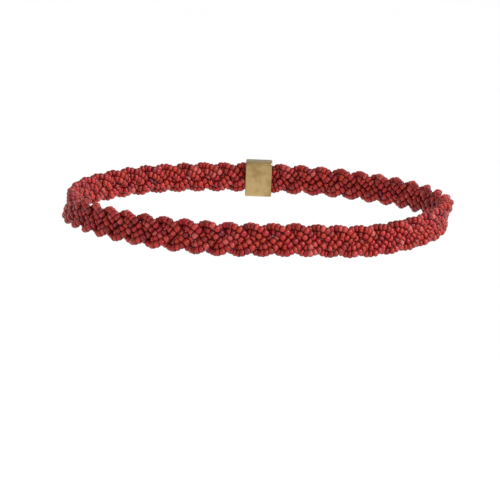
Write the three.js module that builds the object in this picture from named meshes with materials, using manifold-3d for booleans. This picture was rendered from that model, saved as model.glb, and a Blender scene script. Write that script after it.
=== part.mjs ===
// A belt plaited flat from three plies. Each ply is two strings of small beads laid side by side, and the
// ends of all six strings are held in one plain clasp at the back.
// The belt stands as it is worn, level round a waist: +Z is up, the front faces -Y, and the origin is the
// middle of the waist opening at half the plait's height. Lengths are in millimetres.
import * as THREE from 'three';
import { mergeVertices } from 'three/addons/utils/BufferGeometryUtils.js';
import Module from 'manifold-3d';

// The worn loop, over the outside of the plait
const LOOP_WIDTH = 250;
const LOOP_DEPTH = 185;

// One string, slimmer than its beads, which press in between the next string's, and the gap inside a ply
const STRING_DIAMETER = 3.3;
const STRING_GAP = 0.3;
const STRING_SIDES = 6;
const PLIES = 3;

// A tight plait takes its shape from the width of its plies. In ply widths: how far a ply's middle swings
// to either side, how long one cycle of the plait is, and how far a ply lies in front or behind.
const SWING_SHARE = 0.893;
const CYCLE_SHARE = 5.45;
const LIFT_SHARE = 0.39;

// Where the plait is in its cycle at the middle of the front, in degrees
const FRONT_PHASE = 30;

// One swing of a ply from edge to edge: the phase in degrees, and the side of the plait that it lies on,
// 1 in front and -1 behind. The next swing is the same one turned over.
const SWING_PHASE = 180;
const SWING = [
  { phase: 0, side: 0 },
  { phase: 25, side: 1 },
  { phase: 75, side: 1 },
  { phase: 105, side: -1 },
  { phase: 155, side: -1 },
];
const SHORTEST_PHASE = 6;

// The clasp: a box with a pocket in each end, whose floor stops the strings
const CLASP_CORE = 6;
const POCKET_DEPTH = 6;
const CLASP_WALL = 1.2;
const CLASP_ROUNDING = 2;
const CLASP_BEVEL = 0.8;
const CLEARANCE = 0.3;

// A bead string: coral red glass with a satin gloss. The clasp: satin brass.
const beadMaterial = new THREE.MeshStandardMaterial({ color: 0x8b3735, roughness: 0.35, metalness: 0 });
const claspMaterial = new THREE.MeshStandardMaterial({ color: 0xb09660, roughness: 0.4, metalness: 1 });

// The tube that stands for a string has as much section as a round string of its diameter
const fullTurn = 2 * Math.PI;
const sectionAngle = fullTurn / STRING_SIDES;
const roundToCorner = Math.sqrt(fullTurn / (STRING_SIDES * Math.sin(sectionAngle)));
const stringCorner = (STRING_DIAMETER / 2) * roundToCorner;
const stringFlat = stringCorner * Math.cos(sectionAngle / 2);

const stringPitch = 2 * stringCorner + STRING_GAP;
const plyWidth = stringPitch + 2 * stringCorner;
const reach = SWING_SHARE * plyWidth;
const lift = LIFT_SHARE * plyWidth;
const plaitHeight = 2 * (reach + stringPitch / 2 + stringCorner);
const plaitThickness = 2 * (lift + stringFlat);

const claspLength = CLASP_CORE + 2 * POCKET_DEPTH;
const claspEnd = claspLength / 2;

// The plait's middle line runs counterclockwise seen from above, from the clasp's mouth at -X round the
// front to its mouth at +X. Between the mouths the belt is straight.
const loopRadiusX = (LOOP_WIDTH - plaitThickness) / 2;
const loopRadiusY = (LOOP_DEPTH - plaitThickness) / 2;
const mouthAngle = Math.acos(claspEnd / loopRadiusX);
const backY = loopRadiusY * Math.sin(mouthAngle);
const loop = new THREE.EllipseCurve(
  0, 0, loopRadiusX, loopRadiusY, Math.PI - mouthAngle, fullTurn + mouthAngle
);
loop.arcLengthDivisions = 720;
const plaitLength = loop.getLength();

// The plait starts and ends on a whole sixth of its cycle, where one ply lies at its edge
const SIXTH_PHASE = 60;
const nominalHalf = (plaitLength / 2 / (CYCLE_SHARE * plyWidth)) * 360;
const firstPhase = SIXTH_PHASE * Math.round((FRONT_PHASE - nominalHalf) / SIXTH_PHASE);
const lastPhase = 2 * FRONT_PHASE - firstPhase;
const lengthPerDegree = plaitLength / (lastPhase - firstPhase);
const steepestRun = reach / THREE.MathUtils.radToDeg(lengthPerDegree);

// A point of the belt: how far along the plait, how far up, and how far out of its middle
function beltPoint({ along, up, out }) {
  const share = THREE.MathUtils.clamp(along / plaitLength, 0, 1);
  const middle = loop.getPointAt(share);
  const tangent = loop.getTangentAt(share);
  const past = along - share * plaitLength;
  return new THREE.Vector3(
    middle.x + tangent.x * past + tangent.y * out,
    middle.y + tangent.y * past - tangent.x * out,
    up
  );
}

// A string's end at the floor of its pocket; end is -1 at the plait's first mouth and 1 at its last
function seatedPoint(end, { up, out }) {
  const x = end * (claspEnd - POCKET_DEPTH + CLEARANCE);
  return new THREE.Vector3(x, backY + out, up);
}

// The side of the plait at a phase, between two rows of the swing
function sideAt(phase) {
  const within = THREE.MathUtils.euclideanModulo(phase, SWING_PHASE);
  const rows = [...SWING, { phase: SWING_PHASE, side: SWING[0].side }];
  const next = rows.findIndex((row) => row.phase > within);
  const from = rows[next - 1];
  const to = rows[next];
  return THREE.MathUtils.mapLinear(within, from.phase, to.phase, from.side, to.side);
}

// The phases at which a ply has a section: both ends of the plait, and every row of each swing between
function plyPhases(start, end) {
  const phases = [start];
  for (let swing = Math.floor(start / SWING_PHASE); swing * SWING_PHASE < end; swing += 1) {
    for (const row of SWING) {
      const phase = swing * SWING_PHASE + row.phase;
      if (phase > start + SHORTEST_PHASE && phase < end - SHORTEST_PHASE) phases.push(phase);
    }
  }
  phases.push(end);
  return phases;
}

// The points of one string; offset is its distance from the middle of its ply, square to the ply's run.
// At both ends, where the strings bend into their pockets, the offset is mitred between the two runs.
function stringPoints(ply, offset) {
  const plyPhase = (ply * 360) / PLIES;
  const phases = plyPhases(firstPhase + plyPhase, lastPhase + plyPhase);
  const sections = phases.map((phase, index) => {
    const angle = THREE.MathUtils.degToRad(phase);
    const run = Math.atan(-steepestRun * Math.sin(angle));
    const bends = index === 0 || index === phases.length - 1;
    const turn = bends ? run / 2 : run;
    const step = bends ? offset / Math.cos(turn) : offset;
    return {
      along: (phase - plyPhase - firstPhase) * lengthPerDegree - step * Math.sin(turn),
      up: reach * Math.cos(angle) + step * Math.cos(turn),
      out: lift * sideAt(phase),
    };
  });
  return [seatedPoint(-1, sections.at(0)), ...sections.map(beltPoint), seatedPoint(1, sections.at(-1))];
}

// A route through given points, for a tube that keeps one pair of flat sides facing out of the plait
class StringRoute extends THREE.Curve {
  constructor(points) {
    super();
    this.points = points;
  }

  getPoint(share, target = new THREE.Vector3()) {
    const place = share * (this.points.length - 1);
    const index = Math.min(Math.floor(place), this.points.length - 2);
    return target.lerpVectors(this.points[index], this.points[index + 1], place - index);
  }

  getSpacedPoints() {
    return this.points;
  }

  computeFrenetFrames() {
    const frames = { tangents: [], normals: [], binormals: [] };
    const lastIndex = this.points.length - 1;
    this.points.forEach((point, index) => {
      const before = this.points[Math.max(index - 1, 0)];
      const after = this.points[Math.min(index + 1, lastIndex)];
      const tangent = new THREE.Vector3();
      if (index > 0) tangent.add(point.clone().sub(before).normalize());
      if (index < lastIndex) tangent.add(after.clone().sub(point).normalize());
      tangent.normalize();
      const outward = new THREE.Vector3(point.x / loopRadiusX ** 2, point.y / loopRadiusY ** 2, 0);
      const binormal = tangent.clone().cross(outward).normalize();
      frames.tangents.push(tangent);
      frames.binormals.push(binormal);
      frames.normals.push(binormal.clone().cross(tangent));
    });
    return frames;
  }
}

function stringGeometry(points) {
  const corners = [];
  for (let corner = 0; corner < STRING_SIDES; corner += 1) {
    const angle = (corner + 0.5) * sectionAngle;
    corners.push(new THREE.Vector2(stringCorner * Math.cos(angle), stringCorner * Math.sin(angle)));
  }
  const extrudePath = new StringRoute(points);
  return new THREE.ExtrudeGeometry(new THREE.Shape(corners), { steps: points.length - 1, extrudePath });
}

function stringMesh(ply, side) {
  const points = stringPoints(ply, (side * stringPitch) / 2);
  const mesh = new THREE.Mesh(stringGeometry(points), beadMaterial);
  mesh.name = `string_${ply + 1}${side > 0 ? 'a' : 'b'}`;
  return mesh;
}

const manifold = await Module();
manifold.setup();
const MERGE_DISTANCE = 1e-4;

function toSolid(geometry) {
  const bare = geometry.clone();
  bare.deleteAttribute('normal');
  bare.deleteAttribute('uv');
  const merged = mergeVertices(bare, MERGE_DISTANCE);
  return new manifold.Manifold(
    new manifold.Mesh({
      numProp: 3,
      vertProperties: new Float32Array(merged.attributes.position.array),
      triVerts: new Uint32Array(merged.index.array),
    })
  );
}

function toGeometry(solid) {
  const { vertProperties, triVerts } = solid.getMesh();
  const indexed = new THREE.BufferGeometry();
  indexed.setAttribute('position', new THREE.BufferAttribute(vertProperties, 3));
  indexed.setIndex(new THREE.BufferAttribute(triVerts, 1));
  const geometry = indexed.toNonIndexed();
  geometry.computeVertexNormals();
  return geometry;
}

// An upright rectangle with round corners, about the origin
function roundedRectangle(width, height, radius) {
  const x = width / 2 - radius;
  const y = height / 2 - radius;
  const shape = new THREE.Shape();
  shape.absarc(x, y, radius, 0, Math.PI / 2);
  shape.absarc(-x, y, radius, Math.PI / 2, Math.PI);
  shape.absarc(-x, -y, radius, Math.PI, 1.5 * Math.PI);
  shape.absarc(x, -y, radius, 1.5 * Math.PI, fullTurn);
  return shape;
}

// The clasp's outside, drawn end on and run along X between two bevelled ends
function claspBody(height, thickness) {
  const outline = roundedRectangle(
    thickness - 2 * CLASP_BEVEL, height - 2 * CLASP_BEVEL, CLASP_ROUNDING - CLASP_BEVEL
  );
  const straight = claspLength - 2 * CLASP_BEVEL;
  const body = new THREE.ExtrudeGeometry(outline, {
    depth: straight,
    curveSegments: 4,
    bevelThickness: CLASP_BEVEL,
    bevelSize: CLASP_BEVEL,
    bevelSegments: 2,
  });
  body.translate(0, 0, -straight / 2);
  body.rotateX(Math.PI / 2);
  body.rotateZ(Math.PI / 2);
  return body;
}

function claspMesh() {
  const pocketHeight = plaitHeight + 2 * CLEARANCE;
  const pocketThickness = plaitThickness + 2 * CLEARANCE;
  let solid = toSolid(claspBody(pocketHeight + 2 * CLASP_WALL, pocketThickness + 2 * CLASP_WALL));
  for (const end of [-1, 1]) {
    const pocket = new THREE.BoxGeometry(2 * POCKET_DEPTH, pocketThickness, pocketHeight);
    pocket.translate(end * claspEnd, 0, 0);
    solid = solid.subtract(toSolid(pocket));
  }
  const mesh = new THREE.Mesh(toGeometry(solid), claspMaterial);
  mesh.name = 'clasp';
  mesh.position.y = backY;
  return mesh;
}

const group = new THREE.Group();
for (let ply = 0; ply < PLIES; ply += 1) {
  for (const side of [1, -1]) group.add(stringMesh(ply, side));
}
group.add(claspMesh());

export default group;
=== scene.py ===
import math

import bmesh
import bpy
import numpy as np
from mathutils import Matrix, Vector


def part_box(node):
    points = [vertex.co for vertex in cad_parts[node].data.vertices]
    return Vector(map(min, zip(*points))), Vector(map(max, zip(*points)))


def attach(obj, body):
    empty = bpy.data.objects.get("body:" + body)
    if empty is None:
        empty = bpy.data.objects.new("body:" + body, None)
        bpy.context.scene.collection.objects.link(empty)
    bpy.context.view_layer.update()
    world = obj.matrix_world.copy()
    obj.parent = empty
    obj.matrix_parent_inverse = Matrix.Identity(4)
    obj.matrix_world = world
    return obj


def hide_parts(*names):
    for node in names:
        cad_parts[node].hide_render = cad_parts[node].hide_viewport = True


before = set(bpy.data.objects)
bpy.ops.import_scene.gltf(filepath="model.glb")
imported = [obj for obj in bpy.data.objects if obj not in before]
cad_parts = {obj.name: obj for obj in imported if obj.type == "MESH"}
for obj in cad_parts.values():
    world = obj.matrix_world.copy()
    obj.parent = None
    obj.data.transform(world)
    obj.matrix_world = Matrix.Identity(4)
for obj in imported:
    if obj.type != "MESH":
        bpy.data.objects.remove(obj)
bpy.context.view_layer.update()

# A belt plaited flat from three plies. Each ply is two strings of small coral-red glass beads, and all
# six strings end in one plain brass clasp at the back. It is held up as it is worn, with the floor far
# below. Lengths are in metres, and the phase of the plait is in degrees, 360 to a cycle.
MM = 0.001

# The worn loop over the outside of the plait, and the plait's own sizes
LOOP_WIDTH = 250 * MM
LOOP_DEPTH = 185 * MM
LOOP_STEPS = 2880
PLAIT_HEIGHT = 20.8 * MM
PLAIT_THICKNESS = 9.04 * MM
PLIES = 3
CYCLE_LENGTH = 41.19 * MM
FRONT_PHASE = 30
SIXTH_PHASE = 60
CROSSING_SOFTNESS = 0.45

# How far apart the two strings of a ply lie on its slanting run, and where it turns at an edge of the
# plait, and how sharply one becomes the other. At the turn the outer string also rolls to the front, by
# so much against the inner one.
RUN_PITCH = 3.8 * MM
TURN_PITCH = 3.5 * MM
TURN_SHARPNESS = 4
TURN_ROLL = 1.5 * MM
ROUTE_STEP_PHASE = 5

# A bead's section on one side of its hole's middle line, from inside the hole round the outside: how far
# from the middle line, in bead thicknesses, and how far along it, in bead lengths
BEAD_PROFILE = [
    {"radius": 0.12, "along": 0.00},
    {"radius": 0.24, "along": -0.50},
    {"radius": 0.44, "along": -0.31},
    {"radius": 0.50, "along": 0.00},
    {"radius": 0.44, "along": 0.31},
    {"radius": 0.24, "along": 0.50},
]
BEAD_SIDES = 10

# The glass beads on their thread. A bead is longer than its share of the thread by the length share, so
# that it presses into its neighbours, and the crowding draws the beads together where their ply turns. The
# spreads, tilt, drift and lumps make every bead its own.
BEAD_THICKNESS = 4.74 * MM
BEAD_PITCH = 3.15 * MM
BEAD_LENGTH_SHARE = 1.2
BEAD_LENGTH_SPREAD = 0.2
BEAD_THICKNESS_SPREAD = 0.07
BEAD_TILT = math.radians(10)
BEAD_DRIFT = 0.08 * MM
BEAD_CROWDING = 0.4 * MM
BEAD_LUMPS = 0.3 * MM
LUMP_SIZE = 2.2 * MM
THREAD_THICKNESS = 0.9 * MM
THREAD_SIDES = 6

# The seeds of a string's random numbers: how many it has, and how far apart they are
SEEDS_OF_A_STRING = 8
SEED_STEP = 97.0

# How the worn belt lies round the loop, from one mouth of the clasp round the front to the other: how far
# it rises above level, how far its top leans in towards the waist, and how broad the plait is there, as a
# share of its height. Angles are in degrees.
WORN_LIE = [
    {"angle": 94, "rise": 0 * MM, "lean": 0, "breadth": 1},
    {"angle": 125, "rise": 0 * MM, "lean": 8, "breadth": 1},
    {"angle": 180, "rise": -1.8 * MM, "lean": 12, "breadth": 1.02},
    {"angle": 215, "rise": -0.2 * MM, "lean": 12, "breadth": 1.03},
    {"angle": 258, "rise": -0.3 * MM, "lean": 12, "breadth": 1.08},
    {"angle": 281, "rise": 0.9 * MM, "lean": 12, "breadth": 1.02},
    {"angle": 304, "rise": -1.9 * MM, "lean": 12, "breadth": 1.0},
    {"angle": 325, "rise": -0.3 * MM, "lean": 12, "breadth": 0.99},
    {"angle": 350, "rise": 1.6 * MM, "lean": -10, "breadth": 0.97},
    {"angle": 370, "rise": 1.6 * MM, "lean": -20, "breadth": 0.97},
    {"angle": 410, "rise": 0.5 * MM, "lean": -8, "breadth": 1},
    {"angle": 446, "rise": 0 * MM, "lean": 0, "breadth": 1},
]

# How deep the strings go into the clasp
SEAT_DEPTH = 5.7 * MM

# How far a ply swings to either side of the plait's middle, and how far it lies in front or behind
SWING_REACH = (PLAIT_HEIGHT - TURN_PITCH - BEAD_THICKNESS) / 2
PLY_LIFT = (PLAIT_THICKNESS - BEAD_THICKNESS) / 2

# The glass: how a bead's tint, from 0 to 1, gives its red, and its mottle, patches of gloss and fine pits
BEAD_REDS = [
    (0.0, (0.16, 0.012, 0.020)),
    (0.06, (0.21, 0.011, 0.014)),
    (0.16, (0.23, 0.021, 0.012)),
    (0.3, (0.27, 0.012, 0.014)),
    (0.45, (0.33, 0.026, 0.012)),
    (0.6, (0.30, 0.012, 0.020)),
    (0.75, (0.35, 0.019, 0.015)),
    (0.9, (0.37, 0.034, 0.027)),
    (1.0, (0.41, 0.068, 0.062)),
]
MOTTLE_SIZE = 1.1 * MM
MOTTLE_SHADES = (0.8, 1.2)
GLOSS_PATCH_SIZE = 0.8 * MM
GLASS_ROUGHNESS = (0.14, 0.34)
GLASS_SPECULAR = 0.26
PIT_SIZE = 0.35 * MM
PIT_DEPTH = 0.05 * MM

# Painted shade and light on the beads: the base colour is painted darker in the grooves between beads,
# where shade falls, and lighter on their open crowns. From how far above and below the middle the plait's
# free edges count as open, how openly a surface has to lie, and the shades from groove to crown
EDGE_START = 5.0 * MM
PAINTED_SHADE_OPENNESS = (0.6, 1.0)
PAINTED_GROOVE_TO_CROWN_SHADES = (0.72, 1.28)

# The thread's cotton
COTTON_REDS = [(0.3, (0.28, 0.02, 0.02)), (0.7, (0.42, 0.04, 0.035))]
COTTON_ROUGHNESS = 0.9
COTTON_PATCH_SIZE = 0.5 * MM
FIBRE_SIZE = 0.2 * MM
FIBRE_DEPTH = 0.1 * MM

# The clasp's brass, brushed along the belt and tarnished in patches
BRASS_TONES = [(0.35, (0.36, 0.24, 0.10)), (0.65, (0.50, 0.36, 0.16))]
BRASS_ROUGHNESS = (0.24, 0.42)
TARNISH_SIZE = 6 * MM
BRUSHED_LINE_SIZE = 0.16 * MM
BRUSHED_LINE_STRETCH = (0.06, 1.0, 1.0)
BRUSHED_LINE_DEPTH = 0.02 * MM

# The studio: the floor lies below the belt, which is held up at its waist
FLOOR_Z = -0.42
FLOOR_SIZE = 60.0
FLOOR_GREYS = [(0.3, (0.86, 0.86, 0.86)), (0.7, (0.88, 0.88, 0.88))]
FLOOR_PATCH_SIZE = 0.4
FLOOR_ROUGHNESS = 0.8

# Its lights: an even white sky, a broad far light from the right, and a soft box for the highlights
SKY_STRENGTH = 0.585
SIDE_AZIMUTH = math.radians(75)
SIDE_ELEVATION = math.radians(40)
SIDE_STRENGTH = 2.85
SIDE_SPREAD = math.radians(40)
KEY_PLACE = (0.8, -1.6, 1.2)
KEY_SIZE = 0.2
KEY_WATTS = 9

# The photograph's camera, and the pixel on which the origin falls
CAMERA_DISTANCE = 1.6
CAMERA_ELEVATION = math.radians(13.3)
CAMERA_ROLL = math.radians(2.15)
PICTURE_PIXELS = 500
ORIGIN_PIXEL = (257.5, 207.4)
METRES_PER_PIXEL = 0.65 * MM
SENSOR_WIDTH = 36.0


# The plait's route

clasp_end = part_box("clasp")[1].x
radius_x = (LOOP_WIDTH - PLAIT_THICKNESS) / 2
radius_y = (LOOP_DEPTH - PLAIT_THICKNESS) / 2
mouth_angle = math.acos(clasp_end / radius_x)
back_y = radius_y * math.sin(mouth_angle)

loop_angles = np.linspace(math.pi - mouth_angle, 2 * math.pi + mouth_angle, LOOP_STEPS + 1)
loop_points = np.stack([radius_x * np.cos(loop_angles), radius_y * np.sin(loop_angles)], axis=1)
loop_steps = np.linalg.norm(np.diff(loop_points, axis=0), axis=1)
loop_lengths = np.concatenate([[0], np.cumsum(loop_steps)])
plait_length = loop_lengths[-1]

# The plait starts and ends where one ply turns at an edge, as happens every sixth of a cycle
nominal_half = plait_length / 2 / CYCLE_LENGTH * 360
first_phase = SIXTH_PHASE * round((FRONT_PHASE - nominal_half) / SIXTH_PHASE)
last_phase = 2 * FRONT_PHASE - first_phase
length_per_degree = plait_length / (last_phase - first_phase)
steepest_run = SWING_REACH / math.degrees(length_per_degree)


def worn_lie(angle, column):
    """One column of the worn lie at an angle round the loop, in radians."""
    angles = [row["angle"] for row in WORN_LIE]
    return float(np.interp(math.degrees(angle), angles, [row[column] for row in WORN_LIE]))


def belt_point(along, up, out):
    """A point of the belt: how far along the plait, how far up, and how far out of its middle."""
    within = min(max(along, 0), plait_length)
    angle = np.interp(within, loop_lengths, loop_angles)
    tangent = Vector((-radius_x * math.sin(angle), radius_y * math.cos(angle), 0)).normalized()
    outward = Vector((tangent.y, -tangent.x, 0))
    middle = Vector((radius_x * math.cos(angle), radius_y * math.sin(angle), worn_lie(angle, "rise")))
    lean = math.radians(worn_lie(angle, "lean"))
    leaning_up = Vector((0, 0, 1)) * math.cos(lean) - outward * math.sin(lean)
    leaning_out = outward * math.cos(lean) + Vector((0, 0, 1)) * math.sin(lean)
    broad_up = up * worn_lie(angle, "breadth")
    return middle + tangent * (along - within) + leaning_up * broad_up + leaning_out * out


def seated_point(end, up, out):
    """A string's end in the clasp; end is -1 at the plait's first mouth and 1 at its last."""
    return Vector((end * (clasp_end - SEAT_DEPTH), back_y + out, up))


def string_route(ply, side):
    """The points of one string from its seat in one end of the clasp to the other, with their phases in
    radians; side is 1 for the outer string at an upper turn and -1 for the inner one."""
    ply_phase = ply * 360 / PLIES
    phases = np.arange(first_phase + ply_phase, last_phase + ply_phase + 1, ROUTE_STEP_PHASE)
    route = []
    for number, phase in enumerate(phases):
        angle = math.radians(phase)
        run = math.atan(-steepest_run * math.sin(angle))
        offset = side / 2 * (RUN_PITCH + (TURN_PITCH - RUN_PITCH) * math.cos(angle) ** TURN_SHARPNESS)
        bends = number in (0, len(phases) - 1)
        turn = run / 2 if bends else run
        step = offset / math.cos(turn) if bends else offset
        across = math.sin(2 * angle)
        out = PLY_LIFT * across / math.hypot(across, CROSSING_SOFTNESS * math.cos(2 * angle))
        out += side * TURN_ROLL / 2 * math.cos(angle)
        along = (phase - ply_phase - first_phase) * length_per_degree - step * math.sin(turn)
        up = SWING_REACH * math.cos(angle) + step * math.cos(turn)
        if number == 0:
            route.append((seated_point(-1, up, out), angle))
        route.append((belt_point(along, up, out), angle))
    route.append((seated_point(1, up, out), angle))
    return route


def route_object(name, route):
    """A line of edges along a string's route, with its phase on every point."""
    mesh = bpy.data.meshes.new(name)
    edges = [(number, number + 1) for number in range(len(route) - 1)]
    mesh.from_pydata([point for point, phase in route], edges, [])
    phases = mesh.attributes.new("phase", "FLOAT", "POINT")
    phases.data.foreach_set("value", [phase for point, phase in route])
    piece = bpy.data.objects.new(name, mesh)
    bpy.context.scene.collection.objects.link(piece)
    return piece


# Node trees


def add_node(tree, kind, inputs, **settings):
    """A node with its settings, whose inputs are linked to sockets or given values."""
    node = tree.nodes.new(kind)
    for name, value in settings.items():
        setattr(node, name, value)
    for name, value in inputs.items():
        if isinstance(value, bpy.types.NodeSocket):
            tree.links.new(value, node.inputs[name])
        else:
            node.inputs[name].default_value = value
    return node


def math_node(tree, operation, first, second=0.0):
    return add_node(tree, "ShaderNodeMath", {0: first, 1: second}, operation=operation).outputs[0]


def random_number(tree, low, high, seed):
    inputs = {"Min": low, "Max": high, "Seed": seed}
    node = tree.nodes.new("FunctionNodeRandomValue")
    node.data_type = "FLOAT"
    sockets = {socket.name: socket for socket in node.inputs if socket.enabled}
    for name, value in inputs.items():
        if isinstance(value, bpy.types.NodeSocket):
            tree.links.new(value, sockets[name])
        else:
            sockets[name].default_value = value
    return next(socket for socket in node.outputs if socket.enabled)


def bead_shape():
    """One bead, turned round its hole along Z, with a thickness and a length of 1."""
    shape = bmesh.new()
    rings = []
    for row in BEAD_PROFILE:
        radius = row["radius"]
        ring = []
        for side in range(BEAD_SIDES):
            angle = 2 * math.pi * side / BEAD_SIDES
            corner = (radius * math.cos(angle), radius * math.sin(angle), row["along"])
            ring.append(shape.verts.new(corner))
        rings.append(ring)
    for ring, above in zip(rings, rings[1:] + rings[:1]):
        for side in range(BEAD_SIDES):
            after = (side + 1) % BEAD_SIDES
            shape.faces.new((ring[side], ring[after], above[after], above[side])).smooth = True
    bmesh.ops.recalc_face_normals(shape, faces=shape.faces)
    mesh = bpy.data.meshes.new("bead_shape")
    shape.to_mesh(mesh)
    shape.free()
    piece = bpy.data.objects.new("bead_shape", mesh)
    bpy.context.scene.collection.objects.link(piece)
    return piece


def string_tree(bead, bead_material, thread_material):
    """The nodes that thread beads along a route: each with its own length, thickness, tilt and tint."""
    tree = bpy.data.node_groups.new("bead_string", "GeometryNodeTree")
    for name, kind in (
        ("Geometry", "NodeSocketGeometry"),
        ("Bead Thickness", "NodeSocketFloat"),
        ("Bead Pitch", "NodeSocketFloat"),
        ("Thread Thickness", "NodeSocketFloat"),
        ("Seed", "NodeSocketInt"),
    ):
        tree.interface.new_socket(name, in_out="INPUT", socket_type=kind)
    tree.interface.new_socket("Geometry", in_out="OUTPUT", socket_type="NodeSocketGeometry")
    given = tree.nodes.new("NodeGroupInput").outputs
    seeds = [
        math_node(tree, "ADD", given["Seed"], number * SEED_STEP) for number in range(SEEDS_OF_A_STRING)
    ]

    route = add_node(tree, "GeometryNodeMeshToCurve", {"Mesh": given["Geometry"]}).outputs["Curve"]
    length = add_node(tree, "GeometryNodeCurveLength", {"Curve": route}).outputs["Length"]
    count = math_node(tree, "ROUND", math_node(tree, "DIVIDE", length, given["Bead Pitch"]))
    points = add_node(tree, "GeometryNodePoints", {"Count": count}).outputs[0]

    share = random_number(tree, 1 - BEAD_LENGTH_SPREAD, 1 + BEAD_LENGTH_SPREAD, seeds[0])
    summed = add_node(
        tree, "GeometryNodeAccumulateField", {"Value": share}, data_type="FLOAT", domain="POINT"
    )
    half = math_node(tree, "MULTIPLY", share, 0.5)
    centre = math_node(tree, "ADD", summed.outputs["Trailing"], half)
    factor = math_node(tree, "DIVIDE", centre, summed.outputs["Total"])
    along = math_node(tree, "MULTIPLY", factor, length)

    phase = add_node(tree, "GeometryNodeInputNamedAttribute", {"Name": "phase"}, data_type="FLOAT")
    local = add_node(
        tree,
        "GeometryNodeSampleCurve",
        {"Curves": route, "Value": phase.outputs["Attribute"], "Length": along},
        mode="LENGTH",
        data_type="FLOAT",
        use_all_curves=True,
    )
    wave = math_node(tree, "SINE", math_node(tree, "MULTIPLY", local.outputs["Value"], 2.0))
    crowded = math_node(tree, "SUBTRACT", along, math_node(tree, "MULTIPLY", wave, BEAD_CROWDING))
    place = add_node(
        tree,
        "GeometryNodeSampleCurve",
        {"Curves": route, "Length": crowded},
        mode="LENGTH",
        use_all_curves=True,
    )
    drift = add_node(
        tree,
        "ShaderNodeCombineXYZ",
        {axis: random_number(tree, -BEAD_DRIFT, BEAD_DRIFT, seeds[1 + axis]) for axis in range(3)},
    )
    placed = add_node(
        tree,
        "GeometryNodeSetPosition",
        {"Geometry": points, "Position": place.outputs["Position"], "Offset": drift.outputs[0]},
    )

    aligned = add_node(
        tree, "FunctionNodeAlignRotationToVector", {"Vector": place.outputs["Tangent"]}, axis="Z"
    )
    turn = add_node(
        tree,
        "ShaderNodeCombineXYZ",
        {
            0: random_number(tree, -BEAD_TILT, BEAD_TILT, seeds[4]),
            1: random_number(tree, -BEAD_TILT, BEAD_TILT, seeds[5]),
            2: random_number(tree, 0.0, 2 * math.pi, seeds[6]),
        },
    )
    tilted = add_node(
        tree,
        "FunctionNodeRotateRotation",
        {"Rotation": aligned.outputs[0], "Rotate By": turn.outputs[0]},
        rotation_space="LOCAL",
    )
    low, high = 1 - BEAD_THICKNESS_SPREAD, 1 + BEAD_THICKNESS_SPREAD
    thicknesses = [
        math_node(tree, "MULTIPLY", given["Bead Thickness"], random_number(tree, low, high, seed))
        for seed in (seeds[7], seeds[2])
    ]
    bead_length = math_node(
        tree, "MULTIPLY", math_node(tree, "MULTIPLY", share, given["Bead Pitch"]), BEAD_LENGTH_SHARE
    )
    scale = add_node(
        tree, "ShaderNodeCombineXYZ", {0: thicknesses[0], 1: thicknesses[1], 2: bead_length}
    )
    shape = add_node(tree, "GeometryNodeObjectInfo", {"Object": bead}, transform_space="ORIGINAL")
    beads = add_node(
        tree,
        "GeometryNodeInstanceOnPoints",
        {
            "Points": placed.outputs[0],
            "Instance": shape.outputs["Geometry"],
            "Rotation": tilted.outputs[0],
            "Scale": scale.outputs[0],
        },
    )
    tinted = add_node(
        tree,
        "GeometryNodeStoreNamedAttribute",
        {"Geometry": beads.outputs[0], "Name": "tint", "Value": random_number(tree, 0.0, 1.0, seeds[3])},
        data_type="FLOAT",
        domain="INSTANCE",
    )
    realized = add_node(tree, "GeometryNodeRealizeInstances", {"Geometry": tinted.outputs[0]})
    lumps = add_node(tree, "ShaderNodeTexNoise", {"Scale": 1 / LUMP_SIZE, "Detail": 0.0})
    level = add_node(
        tree,
        "ShaderNodeVectorMath",
        {0: lumps.outputs["Color"], 1: (0.5, 0.5, 0.5)},
        operation="SUBTRACT",
    )
    push = add_node(
        tree, "ShaderNodeVectorMath", {0: level.outputs[0], "Scale": BEAD_LUMPS}, operation="SCALE"
    )
    uneven = add_node(
        tree, "GeometryNodeSetPosition", {"Geometry": realized.outputs[0], "Offset": push.outputs[0]}
    )
    glass = add_node(
        tree, "GeometryNodeSetMaterial", {"Geometry": uneven.outputs[0], "Material": bead_material}
    )

    section = add_node(
        tree,
        "GeometryNodeCurvePrimitiveCircle",
        {"Resolution": THREAD_SIDES, "Radius": math_node(tree, "MULTIPLY", given["Thread Thickness"], 0.5)},
    )
    thread = add_node(
        tree,
        "GeometryNodeCurveToMesh",
        {"Curve": route, "Profile Curve": section.outputs[0], "Fill Caps": True},
    )
    cotton = add_node(
        tree, "GeometryNodeSetMaterial", {"Geometry": thread.outputs[0], "Material": thread_material}
    )
    joined = tree.nodes.new("GeometryNodeJoinGeometry")
    tree.links.new(glass.outputs[0], joined.inputs[0])
    tree.links.new(cotton.outputs[0], joined.inputs[0])
    out = tree.nodes.new("NodeGroupOutput")
    tree.links.new(joined.outputs[0], out.inputs["Geometry"])
    return tree


def applied(piece):
    """The piece with what its modifiers make as its own plain mesh."""
    evaluated = piece.evaluated_get(bpy.context.evaluated_depsgraph_get())
    mesh = bpy.data.meshes.new_from_object(evaluated)
    piece.modifiers.clear()
    piece.data = mesh
    return piece


def threaded_string(name, ply, side, tree, seed):
    """One bead string: its thread with all its beads."""
    piece = route_object(name + "_beads", string_route(ply, side))
    modifier = piece.modifiers.new("bead_string", "NODES")
    modifier.node_group = tree
    sizes = {
        "Bead Thickness": BEAD_THICKNESS,
        "Bead Pitch": BEAD_PITCH,
        "Thread Thickness": THREAD_THICKNESS,
        "Seed": seed,
    }
    for item in tree.interface.items_tree:
        if item.in_out == "INPUT" and item.name in sizes:
            modifier[item.identifier] = sizes[item.name]
    return applied(piece)


# Materials


def new_material(name):
    material = bpy.data.materials.new(name)
    material.use_nodes = True
    tree = material.node_tree
    shader = tree.nodes["Principled BSDF"]
    place = tree.nodes.new("ShaderNodeTexCoord").outputs["Object"]
    return material, tree, shader, place


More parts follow.
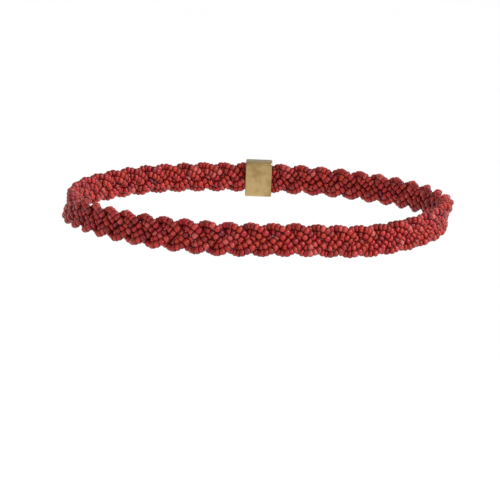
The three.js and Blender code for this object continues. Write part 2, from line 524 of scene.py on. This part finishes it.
def noise(tree, place, size, detail=2.0):
    """A noise from 0 to 1 whose patches have the given size."""
    node = add_node(tree, "ShaderNodeTexNoise", {"Vector": place, "Scale": 1 / size, "Detail": detail})
    return node.outputs["Fac"]


def ramp(tree, value, stops):
    """The colour at a value, from stops of a position and a colour."""
    node = add_node(tree, "ShaderNodeValToRGB", {"Fac": value})
    elements = node.color_ramp.elements
    while len(elements) < len(stops):
        elements.new(0.5)
    for element, (position, colour) in zip(elements, stops):
        element.position = position
        element.color = (*colour, 1)
    return node.outputs["Color"]


def scaled(tree, value, reach):
    """A value from 0 to 1 spread over a reach."""
    low, high = reach
    node = add_node(tree, "ShaderNodeMapRange", {"Value": value, "To Min": low, "To Max": high})
    return node.outputs["Result"]


def add_bump(tree, shader, height, distance):
    node = add_node(tree, "ShaderNodeBump", {"Height": height, "Distance": distance})
    tree.links.new(node.outputs["Normal"], shader.inputs["Normal"])


def painted_shade_openness(tree, place):
    """How openly the surface lies, for the painted shade and light: 1 where it faces out of or into the
    loop, or past a free edge.
    """
    normal = tree.nodes.new("ShaderNodeNewGeometry").outputs["Normal"]
    slopes = (1 / radius_x**2, 1 / radius_y**2, 0)
    scaled_place = add_node(tree, "ShaderNodeVectorMath", {0: place, 1: slopes}, operation="MULTIPLY")
    outward = add_node(tree, "ShaderNodeVectorMath", {0: scaled_place.outputs[0]}, operation="NORMALIZE")
    facing = add_node(
        tree, "ShaderNodeVectorMath", {0: normal, 1: outward.outputs[0]}, operation="DOT_PRODUCT"
    )
    face = math_node(tree, "ABSOLUTE", facing.outputs["Value"])
    height = add_node(tree, "ShaderNodeSeparateXYZ", {0: place}).outputs["Z"]
    upwards = add_node(tree, "ShaderNodeSeparateXYZ", {0: normal}).outputs["Z"]
    past_edge = math_node(tree, "MULTIPLY", upwards, math_node(tree, "SIGN", height))
    at_edge = add_node(
        tree,
        "ShaderNodeMapRange",
        {
            "Value": math_node(tree, "ABSOLUTE", height),
            "From Min": EDGE_START,
            "From Max": PLAIT_HEIGHT / 2,
        },
    )
    edge = math_node(tree, "MULTIPLY", past_edge, at_edge.outputs["Result"])
    return math_node(tree, "MAXIMUM", face, edge)


def coral_glass():
    """Opaque coral-red glass: every bead its own red, a little mottled, with painted light on its crown and
    painted shade in the grooves between beads, and a satin gloss."""
    material, tree, shader, place = new_material("coral_glass")
    tint = add_node(tree, "ShaderNodeAttribute", {}, attribute_name="tint").outputs["Fac"]
    reds = ramp(tree, tint, BEAD_REDS)
    mottle = scaled(tree, noise(tree, place, MOTTLE_SIZE), MOTTLE_SHADES)
    # Painted shade and light: the colour is scaled down in the grooves between beads and up on their open
    # crowns
    painted_shade_and_light = add_node(
        tree,
        "ShaderNodeMapRange",
        {
            "Value": painted_shade_openness(tree, place),
            "From Min": PAINTED_SHADE_OPENNESS[0],
            "From Max": PAINTED_SHADE_OPENNESS[1],
            "To Min": PAINTED_GROOVE_TO_CROWN_SHADES[0],
            "To Max": PAINTED_GROOVE_TO_CROWN_SHADES[1],
        },
        interpolation_type="SMOOTHSTEP",
    )
    colour = add_node(
        tree,
        "ShaderNodeVectorMath",
        {0: reds, "Scale": math_node(tree, "MULTIPLY", mottle, painted_shade_and_light.outputs["Result"])},
        operation="SCALE",
    )
    tree.links.new(colour.outputs[0], shader.inputs["Base Color"])
    gloss = scaled(tree, noise(tree, place, GLOSS_PATCH_SIZE), GLASS_ROUGHNESS)
    tree.links.new(gloss, shader.inputs["Roughness"])
    shader.inputs["Specular IOR Level"].default_value = GLASS_SPECULAR
    add_bump(tree, shader, noise(tree, place, PIT_SIZE, 3.0), PIT_DEPTH)
    return material


def red_cotton():
    """The thread: dull red cotton."""
    material, tree, shader, place = new_material("red_cotton")
    dye = ramp(tree, noise(tree, place, COTTON_PATCH_SIZE), COTTON_REDS)
    tree.links.new(dye, shader.inputs["Base Color"])
    shader.inputs["Roughness"].default_value = COTTON_ROUGHNESS
    add_bump(tree, shader, noise(tree, place, FIBRE_SIZE), FIBRE_DEPTH)
    return material


def satin_brass():
    """The clasp: brass with fine brushed lines along it."""
    material, tree, shader, place = new_material("satin_brass")
    along = add_node(tree, "ShaderNodeMapping", {"Vector": place, "Scale": BRUSHED_LINE_STRETCH})
    brushed = noise(tree, along.outputs[0], BRUSHED_LINE_SIZE, 4.0)
    tarnish = noise(tree, place, TARNISH_SIZE, 3.0)
    tree.links.new(ramp(tree, tarnish, BRASS_TONES), shader.inputs["Base Color"])
    shader.inputs["Metallic"].default_value = 1.0
    tree.links.new(scaled(tree, brushed, BRASS_ROUGHNESS), shader.inputs["Roughness"])
    add_bump(tree, shader, brushed, BRUSHED_LINE_DEPTH)
    return material


def pale_floor():
    """The floor: matt and almost white."""
    material, tree, shader, place = new_material("pale_floor")
    greys = ramp(tree, noise(tree, place, FLOOR_PATCH_SIZE), FLOOR_GREYS)
    tree.links.new(greys, shader.inputs["Base Color"])
    shader.inputs["Roughness"].default_value = FLOOR_ROUGHNESS
    return material


# The belt


def dress_belt():
    """The six bead strings in place of their plain tubes, and the clasp's own brass."""
    bead = bead_shape()
    tree = string_tree(bead, coral_glass(), red_cotton())
    for ply in range(PLIES):
        for side, letter in ((1, "a"), (-1, "b")):
            name = f"string_{ply + 1}{letter}"
            piece = threaded_string(name, ply, side, tree, 10 * ply + (side > 0))
            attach(piece, "root")
            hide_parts(name)
    bpy.data.objects.remove(bead)
    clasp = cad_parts["clasp"]
    clasp.data.materials.clear()
    clasp.data.materials.append(satin_brass())


# The studio


def add_floor():
    mesh = bpy.data.meshes.new("studio_floor")
    half = FLOOR_SIZE / 2
    corners = [(-half, -half), (half, -half), (half, half), (-half, half)]
    mesh.from_pydata([(x, y, FLOOR_Z) for x, y in corners], [], [(0, 1, 2, 3)])
    mesh.materials.append(pale_floor())
    floor = bpy.data.objects.new("studio_floor", mesh)
    bpy.context.scene.collection.objects.link(floor)


def add_key_light():
    """A square soft box that faces the belt."""
    light = bpy.data.lights.new("key", "AREA")
    light.size = KEY_SIZE
    light.energy = KEY_WATTS
    lamp = bpy.data.objects.new("key", light)
    lamp.location = KEY_PLACE
    lamp.rotation_euler = (-Vector(KEY_PLACE)).to_track_quat("-Z", "Y").to_euler()
    bpy.context.scene.collection.objects.link(lamp)


def add_side_light():
    """A far, soft light from the right, which lights the floor evenly too."""
    light = bpy.data.lights.new("side", "SUN")
    light.energy = SIDE_STRENGTH
    light.angle = SIDE_SPREAD
    lamp = bpy.data.objects.new("side", light)
    towards = Vector((math.sin(SIDE_AZIMUTH), -math.cos(SIDE_AZIMUTH), math.tan(SIDE_ELEVATION)))
    lamp.rotation_euler = (-towards).to_track_quat("-Z", "Y").to_euler()
    bpy.context.scene.collection.objects.link(lamp)


def add_sky():
    """An even white sky."""
    world = bpy.data.worlds.new("studio")
    world.use_nodes = True
    background = world.node_tree.nodes["Background"]
    background.inputs["Color"].default_value = (1, 1, 1, 1)
    background.inputs["Strength"].default_value = SKY_STRENGTH
    bpy.context.scene.world = world


def add_camera():
    """The photograph's camera, a little above the belt and slightly rolled."""
    away = Vector((0, -math.cos(CAMERA_ELEVATION), math.sin(CAMERA_ELEVATION)))
    turn = (-away).to_track_quat("-Z", "Y").to_matrix() @ Matrix.Rotation(CAMERA_ROLL, 3, "Z")
    middle = PICTURE_PIXELS / 2
    aim = turn @ Vector((middle - ORIGIN_PIXEL[0], ORIGIN_PIXEL[1] - middle, 0)) * METRES_PER_PIXEL
    place = away * CAMERA_DISTANCE
    turn = (aim - place).to_track_quat("-Z", "Y").to_matrix() @ Matrix.Rotation(CAMERA_ROLL, 3, "Z")
    data = bpy.data.cameras.new("camera")
    data.sensor_width = SENSOR_WIDTH
    data.lens = SENSOR_WIDTH * CAMERA_DISTANCE / (PICTURE_PIXELS * METRES_PER_PIXEL)
    camera = bpy.data.objects.new("camera", data)
    camera.matrix_world = Matrix.Translation(place) @ turn.to_4x4()
    bpy.context.scene.collection.objects.link(camera)
    bpy.context.scene.camera = camera


add_camera()
dress_belt()
add_floor()
add_sky()
add_side_light()
add_key_light()
bpy.context.scene.view_settings.view_transform = "Standard"
